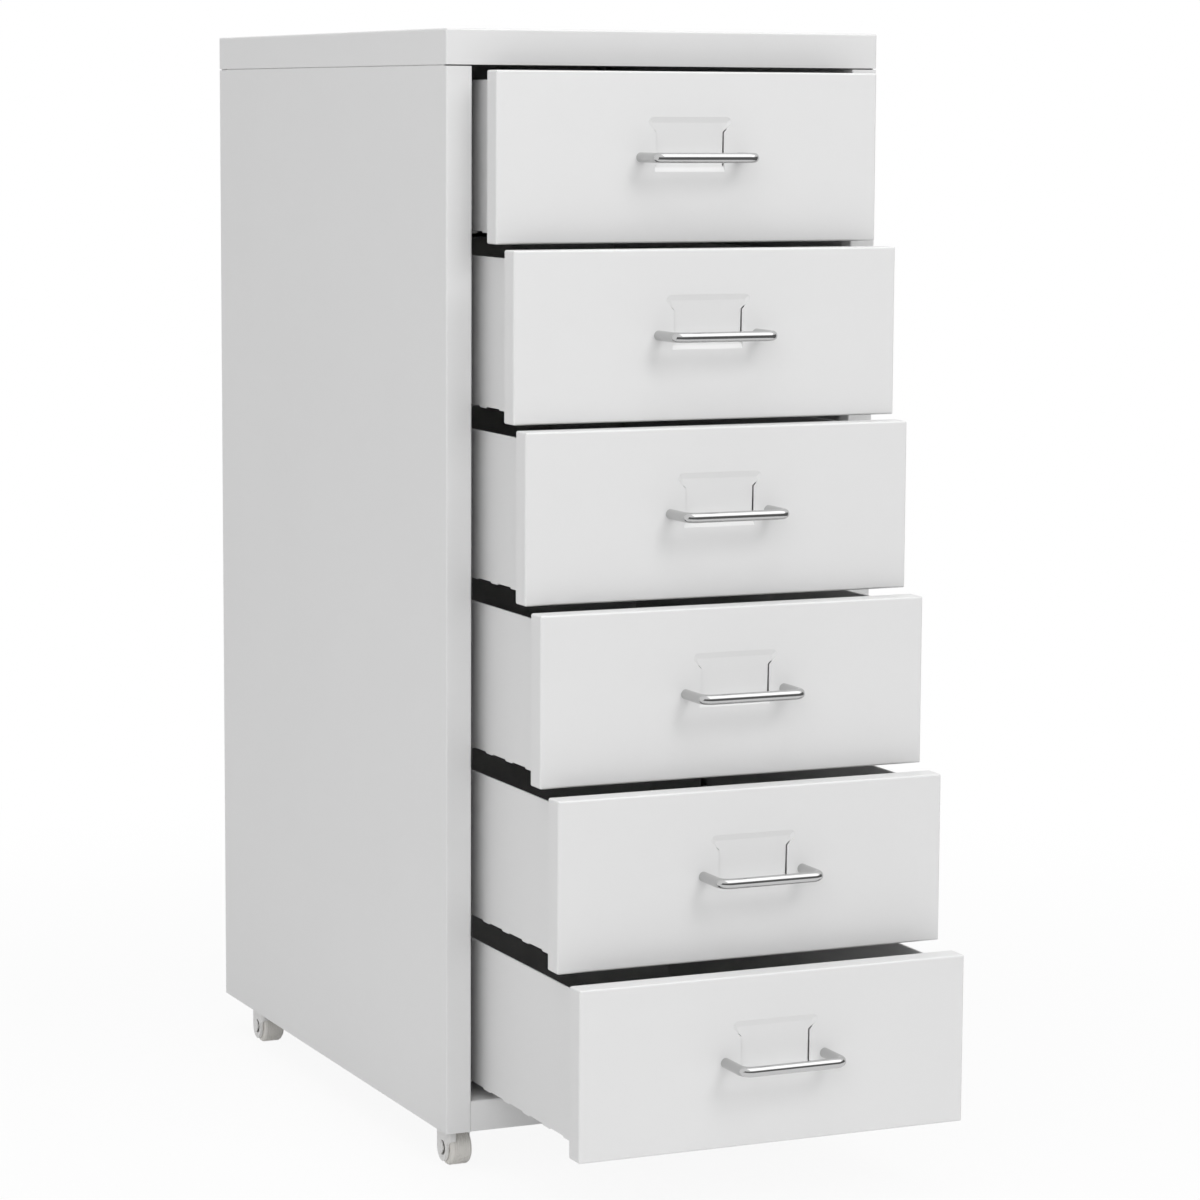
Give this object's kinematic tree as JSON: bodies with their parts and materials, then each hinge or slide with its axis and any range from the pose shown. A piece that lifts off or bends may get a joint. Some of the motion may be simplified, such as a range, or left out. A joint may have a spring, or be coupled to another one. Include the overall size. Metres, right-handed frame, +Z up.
{
  "type": "small metal drawer cabinet",
  "caption": "Narrow sheet-steel cabinet with a stack of sliding drawers, label pockets, bright bow handles and four swivel castors.",
  "frame": {"origin": "on the floor, under the middle of the case", "axes": "+Z up; -Y towards the drawer fronts; +X to the right, seen from the front"},
  "size_m": [0.282, 0.5994, 0.6825],
  "materials": {
    "white_paint": "fine satin powder coat on folded steel sheet",
    "bright_chrome": "polished chrome plate",
    "zinc_plated_steel": "bright zinc plate",
    "white_plastic": "moulded plastic, slight sheen",
    "grey_wheel": "hard moulded tread, slight sheen"
  },
  "bodies": {
    "cabinet": {"top_cover": "white_paint", "side_panel_left": "white_paint", "side_panel_right": "white_paint", "back_panel": "white_paint", "bottom_panel": "white_paint", "runners_left": "white_paint", "runners_right": "white_paint", "case_screws": "zinc_plated_steel", "castor_nuts": "zinc_plated_steel", "castor_front_left_stem": "zinc_plated_steel", "castor_front_right_stem": "zinc_plated_steel", "castor_rear_left_stem": "zinc_plated_steel", "castor_rear_right_stem": "zinc_plated_steel"},
    "drawer_1": {"drawer_1_front": "white_paint", "drawer_1_sides": "white_paint", "drawer_1_bottom": "white_paint", "drawer_1_handle": "bright_chrome", "drawer_1_screws": "zinc_plated_steel"},
    "drawer_2": {"drawer_2_front": "white_paint", "drawer_2_sides": "white_paint", "drawer_2_bottom": "white_paint", "drawer_2_handle": "bright_chrome", "drawer_2_screws": "zinc_plated_steel"},
    "drawer_3": {"drawer_3_front": "white_paint", "drawer_3_sides": "white_paint", "drawer_3_bottom": "white_paint", "drawer_3_handle": "bright_chrome", "drawer_3_screws": "zinc_plated_steel"},
    "drawer_4": {"drawer_4_front": "white_paint", "drawer_4_sides": "white_paint", "drawer_4_bottom": "white_paint", "drawer_4_handle": "bright_chrome", "drawer_4_screws": "zinc_plated_steel"},
    "drawer_5": {"drawer_5_front": "white_paint", "drawer_5_sides": "white_paint", "drawer_5_bottom": "white_paint", "drawer_5_handle": "bright_chrome", "drawer_5_screws": "zinc_plated_steel"},
    "drawer_6": {"drawer_6_front": "white_paint", "drawer_6_sides": "white_paint", "drawer_6_bottom": "white_paint", "drawer_6_handle": "bright_chrome", "drawer_6_screws": "zinc_plated_steel"},
    "castor_front_left_swivel": {"castor_front_left_fork": "white_plastic", "castor_front_left_axle": "zinc_plated_steel"},
    "castor_front_left_roller": {"castor_front_left_wheel": "grey_wheel"},
    "castor_front_right_swivel": {"castor_front_right_fork": "white_plastic", "castor_front_right_axle": "zinc_plated_steel"},
    "castor_front_right_roller": {"castor_front_right_wheel": "grey_wheel"},
    "castor_rear_left_swivel": {"castor_rear_left_fork": "white_plastic", "castor_rear_left_axle": "zinc_plated_steel"},
    "castor_rear_left_roller": {"castor_rear_left_wheel": "grey_wheel"},
    "castor_rear_right_swivel": {"castor_rear_right_fork": "white_plastic", "castor_rear_right_axle": "zinc_plated_steel"},
    "castor_rear_right_roller": {"castor_rear_right_wheel": "grey_wheel"}
  },
  "joints": [
    {"name": "drawer_1_slide", "type": "slide", "parent": "cabinet", "child": "drawer_1", "axis": [0, -1, 0], "range_m": [-0.0335, 0.2565]},
    {"name": "drawer_2_slide", "type": "slide", "parent": "cabinet", "child": "drawer_2", "axis": [0, -1, 0], "range_m": [-0.0599, 0.2301]},
    {"name": "drawer_3_slide", "type": "slide", "parent": "cabinet", "child": "drawer_3", "axis": [0, -1, 0], "range_m": [-0.0778, 0.2122]},
    {"name": "drawer_4_slide", "type": "slide", "parent": "cabinet", "child": "drawer_4", "axis": [0, -1, 0], "range_m": [-0.1005, 0.1895]},
    {"name": "drawer_5_slide", "type": "slide", "parent": "cabinet", "child": "drawer_5", "axis": [0, -1, 0], "range_m": [-0.1263, 0.1637]},
    {"name": "drawer_6_slide", "type": "slide", "parent": "cabinet", "child": "drawer_6", "axis": [0, -1, 0], "range_m": [-0.1576, 0.1324]},
    {"name": "castor_front_left_turn", "type": "hinge", "parent": "cabinet", "child": "castor_front_left_swivel", "pos_m": [-0.125, -0.171, 0.0284], "axis": [0, 0, 1], "continuous": true},
    {"name": "castor_front_left_roll", "type": "hinge", "parent": "castor_front_left_swivel", "child": "castor_front_left_roller", "pos_m": [-0.125, -0.182, 0.011], "axis": [1, 0, 0], "continuous": true},
    {"name": "castor_front_right_turn", "type": "hinge", "parent": "cabinet", "child": "castor_front_right_swivel", "pos_m": [0.125, -0.171, 0.0284], "axis": [0, 0, 1], "continuous": true},
    {"name": "castor_front_right_roll", "type": "hinge", "parent": "castor_front_right_swivel", "child": "castor_front_right_roller", "pos_m": [0.125, -0.182, 0.011], "axis": [1, 0, 0], "continuous": true},
    {"name": "castor_rear_left_turn", "type": "hinge", "parent": "cabinet", "child": "castor_rear_left_swivel", "pos_m": [-0.125, 0.171, 0.0284], "axis": [0, 0, 1], "continuous": true},
    {"name": "castor_rear_left_roll", "type": "hinge", "parent": "castor_rear_left_swivel", "child": "castor_rear_left_roller", "pos_m": [-0.125, 0.16, 0.011], "axis": [1, 0, 0], "continuous": true},
    {"name": "castor_rear_right_turn", "type": "hinge", "parent": "cabinet", "child": "castor_rear_right_swivel", "pos_m": [0.125, 0.171, 0.0284], "axis": [0, 0, 1], "continuous": true},
    {"name": "castor_rear_right_roll", "type": "hinge", "parent": "castor_rear_right_swivel", "child": "castor_rear_right_roller", "pos_m": [0.125, 0.16, 0.011], "axis": [1, 0, 0], "continuous": true}
  ]
}
